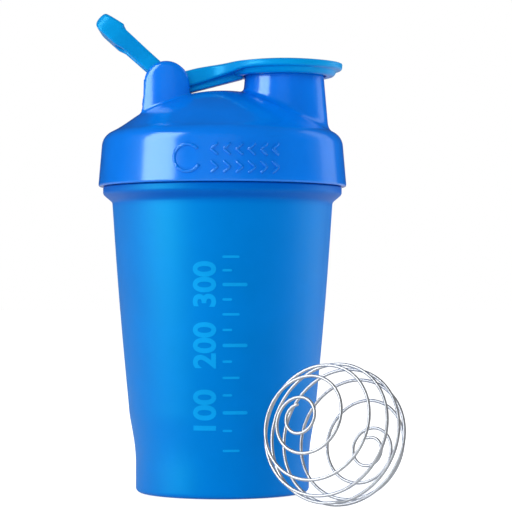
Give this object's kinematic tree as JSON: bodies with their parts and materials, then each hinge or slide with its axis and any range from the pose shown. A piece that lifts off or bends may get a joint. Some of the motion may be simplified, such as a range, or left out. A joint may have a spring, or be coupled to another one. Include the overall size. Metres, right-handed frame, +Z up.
{
  "type": "shaker bottle",
  "caption": "Tapered protein shaker bottle with a screw lid, a flip cap over its pouring spout, a carry loop and a loose wire whisk ball.",
  "frame": {"origin": "centre of the cup's foot, on the ground", "axes": "+Z up along the bottle, +X from the hinge towards the spout, -Y the front with the level marks"},
  "size_m": [0.1154, 0.131, 0.1841],
  "materials": {
    "cup_plastic": "matte, slightly see-through moulded polypropylene",
    "mark_print": "flat pad print",
    "lid_plastic": "glossy moulded polypropylene",
    "accent_plastic": "satin moulded polypropylene",
    "seal_silicone": "soft, milky silicone",
    "wire_steel": "polished stainless wire"
  },
  "bodies": {
    "cup": {"cup_body": "cup_plastic", "scale_marks": "mark_print"},
    "lid_carrier": {"lid_seal_ring": "seal_silicone"},
    "lid": {"lid_shell": "lid_plastic", "hinge_pin": "lid_plastic"},
    "flip_cap": {"flip_cap": "accent_plastic", "spout_plug": "seal_silicone"},
    "carry_loop": {"carry_loop": "accent_plastic"},
    "whisk_ball": {"whisk_wire": "wire_steel"}
  },
  "joints": [
    {"name": "lid_lift", "type": "slide", "parent": "cup", "child": "lid_carrier", "axis": [0, 0, 1], "range_m": [0, 0.072]},
    {"name": "lid_turn", "type": "hinge", "parent": "lid_carrier", "child": "lid", "pos_m": [0, 0, 0.126], "axis": [0, 0, 1], "range_deg": [0, 4320]},
    {"name": "cap_flip", "type": "hinge", "parent": "lid", "child": "flip_cap", "pos_m": [-0.0215, 0, 0.1562], "axis": [0, -1, 0], "range_deg": [0, 100]},
    {"name": "loop_swing", "type": "hinge", "parent": "lid", "child": "carry_loop", "pos_m": [-0.0215, 0, 0.1562], "axis": [0, -1, 0], "range_deg": [0, 70]},
    {"name": "ball_roll_away", "type": "slide", "parent": "cup", "child": "whisk_ball", "axis": [0.5839, -0.8118, 0], "range_m": [0, 0.06]}
  ],
  "couplings": [
    {"joint": "lid_lift", "follows": "lid_turn", "m_per_rad": 0.00095492}
  ]
}
